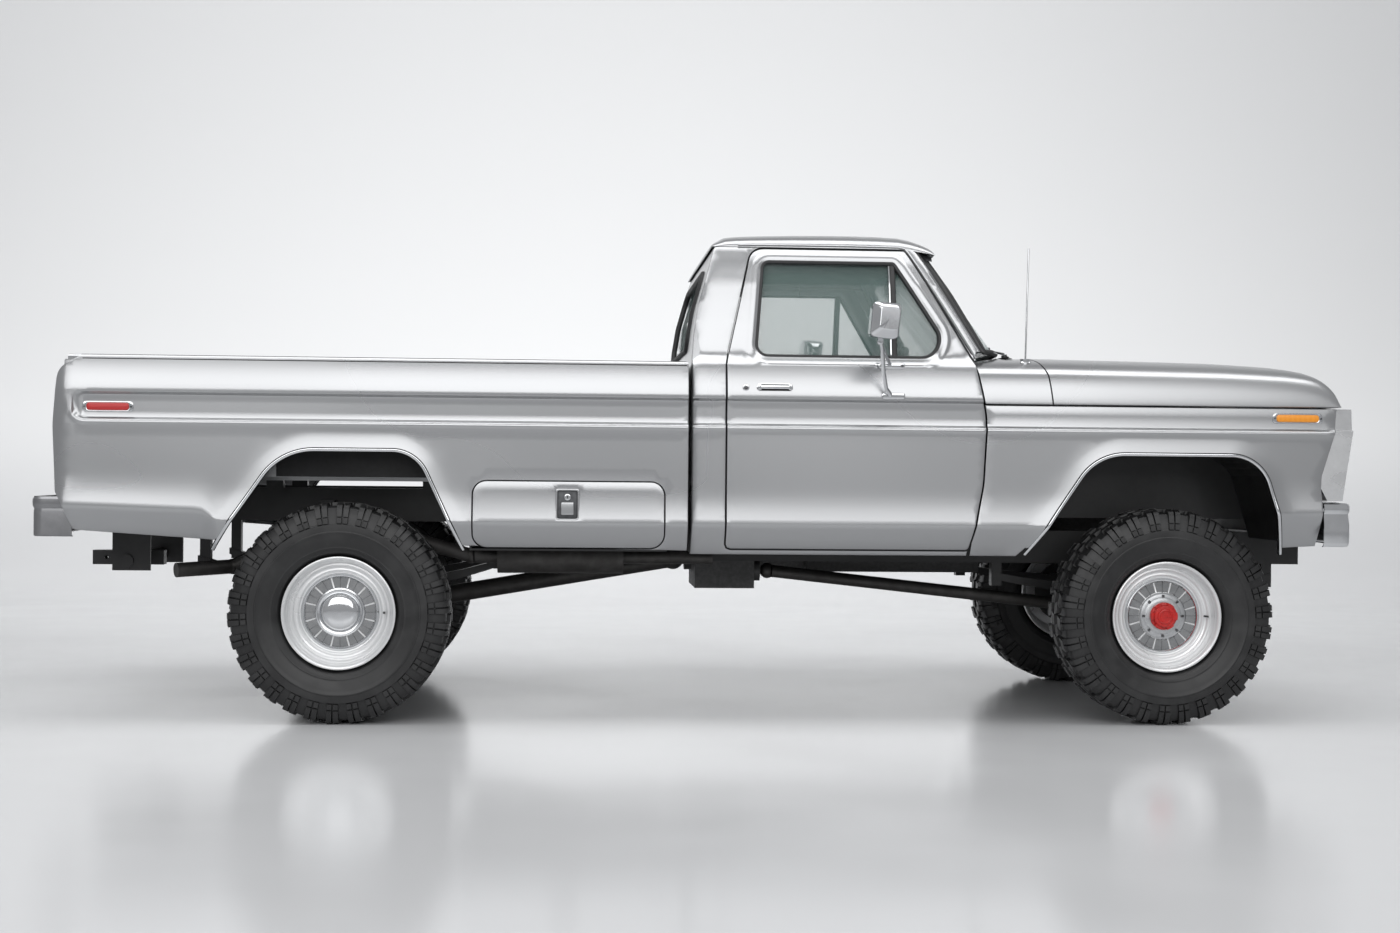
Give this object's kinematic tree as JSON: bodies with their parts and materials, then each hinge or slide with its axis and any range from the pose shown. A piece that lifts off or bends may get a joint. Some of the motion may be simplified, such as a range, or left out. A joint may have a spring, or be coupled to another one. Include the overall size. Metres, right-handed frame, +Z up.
{
  "type": "lifted off-road pickup truck",
  "caption": "Lifted four-wheel-drive pickup with a regular cab, a long bed, a step bumper and a side tool compartment; doors, hood, tailgate, steering and wheels move.",
  "frame": {"origin": "on the ground, under the middle of the vehicle's box", "axes": "+X forward, +Y to the vehicle's left, +Z up"},
  "size_m": [5.46, 2.54, 2.032],
  "materials": {
    "satin_paint": "satin metallic silver",
    "bumper_paint": "satin silver",
    "chrome": "bright plated",
    "black_frame": "satin black",
    "cast_metal": "cast grey",
    "steel": "dull steel",
    "glass": "pale green tint",
    "lamp_glass": "clear fluted",
    "red_lens": "clear red",
    "interior": "dark grained",
    "bench_fabric": "woven grey cloth",
    "tyre": "matt black",
    "rim": "bright white and polished",
    "shock_red": "dark red"
  },
  "bodies": {
    "chassis": {"ladder_frame": "black_frame", "rear_bumper": "bumper_paint", "hitch_receiver": "black_frame", "engine": "cast_metal", "transfer_case": "cast_metal", "front_axle": "cast_metal", "rear_axle": "cast_metal", "driveshafts": "steel", "leaf_springs": "black_frame", "shock_absorbers": "shock_red", "exhaust": "steel", "fuel_tank": "black_frame", "front_bumper": "chrome", "grille": "satin_paint", "headlights": "lamp_glass", "radiator": "black_frame", "inner_fenders": "black_frame", "right_fender": "satin_paint", "left_fender": "satin_paint", "cab_floor": "black_frame", "cowl": "satin_paint", "cab_back": "satin_paint", "right_cab_side": "satin_paint", "left_cab_side": "satin_paint", "roof": "satin_paint", "windshield": "glass", "rear_window": "glass", "dashboard": "interior", "bench_seat": "bench_fabric", "antenna": "steel", "bed_floor": "satin_paint", "right_bedside": "satin_paint", "left_bedside": "satin_paint", "toolbox": "black_frame", "tail_lights": "red_lens"},
    "right_door": {"right_door": "satin_paint", "right_window": "glass", "right_mirror": "chrome"},
    "left_door": {"left_door": "satin_paint", "left_window": "glass", "left_mirror": "chrome"},
    "hood": {"hood": "satin_paint"},
    "tailgate": {"tailgate": "satin_paint"},
    "toolbox_lid": {"toolbox_door": "satin_paint"},
    "right_knuckle": {"right_knuckle": "cast_metal"},
    "left_knuckle": {"left_knuckle": "cast_metal"},
    "tie_rod": {"tie_rod": "cast_metal"},
    "steering_wheel": {"steering_wheel": "interior"},
    "front_right_wheel": {"front_right_tyre": "tyre", "front_right_wheel": "rim"},
    "front_left_wheel": {"front_left_tyre": "tyre", "front_left_wheel": "rim"},
    "rear_right_wheel": {"rear_right_tyre": "tyre", "rear_right_wheel": "rim"},
    "rear_left_wheel": {"rear_left_tyre": "tyre", "rear_left_wheel": "rim"}
  },
  "joints": [
    {"name": "right_door_hinge", "type": "hinge", "parent": "chassis", "child": "right_door", "pos_m": [1.113, -1.004, 1.19], "axis": [0, 0, 1], "range_deg": [0, 65]},
    {"name": "left_door_hinge", "type": "hinge", "parent": "chassis", "child": "left_door", "pos_m": [1.113, 1.004, 1.19], "axis": [0, 0, -1], "range_deg": [0, 65]},
    {"name": "hood_hinge", "type": "hinge", "parent": "chassis", "child": "hood", "pos_m": [1.328, 0, 1.526], "axis": [0, -1, 0], "range_deg": [0, 50]},
    {"name": "tailgate_hinge", "type": "hinge", "parent": "chassis", "child": "tailgate", "pos_m": [-2.587, 0, 1.015], "axis": [0, -1, 0], "range_deg": [0, 90]},
    {"name": "toolbox_hinge", "type": "hinge", "parent": "chassis", "child": "toolbox_lid", "pos_m": [-0.582, -0.949, 0.712], "axis": [1, 0, 0], "range_deg": [0, 90]},
    {"name": "right_steer", "type": "hinge", "parent": "chassis", "child": "right_knuckle", "pos_m": [1.88, -0.7, 0.444], "axis": [0, 0, 1], "range_deg": [-27, 27]},
    {"name": "left_steer", "type": "hinge", "parent": "chassis", "child": "left_knuckle", "pos_m": [1.88, 0.7, 0.444], "axis": [0, 0, 1], "range_deg": [-27, 27]},
    {"name": "tie_rod_end", "type": "hinge", "parent": "right_knuckle", "child": "tie_rod", "pos_m": [2.05, -0.7, 0.444], "axis": [0, 0, 1], "range_deg": [-27, 27]},
    {"name": "steering_wheel_turn", "type": "hinge", "parent": "chassis", "child": "steering_wheel", "pos_m": [0.91, 0.4, 1.44], "axis": [-0.866, 0, 0.5], "range_deg": [-432, 432]},
    {"name": "front_right_spin", "type": "hinge", "parent": "right_knuckle", "child": "front_right_wheel", "pos_m": [1.88, -0.83, 0.444], "axis": [0, 1, 0], "continuous": true},
    {"name": "front_left_spin", "type": "hinge", "parent": "left_knuckle", "child": "front_left_wheel", "pos_m": [1.88, 0.83, 0.444], "axis": [0, 1, 0], "continuous": true},
    {"name": "rear_right_spin", "type": "hinge", "parent": "chassis", "child": "rear_right_wheel", "pos_m": [-1.5, -0.83, 0.444], "axis": [0, 1, 0], "continuous": true},
    {"name": "rear_left_spin", "type": "hinge", "parent": "chassis", "child": "rear_left_wheel", "pos_m": [-1.5, 0.83, 0.444], "axis": [0, 1, 0], "continuous": true}
  ],
  "couplings": [
    {"joint": "left_steer", "follows": "right_steer", "ratio": 1},
    {"joint": "tie_rod_end", "follows": "right_steer", "ratio": -1},
    {"joint": "steering_wheel_turn", "follows": "right_steer", "ratio": 16}
  ]
}
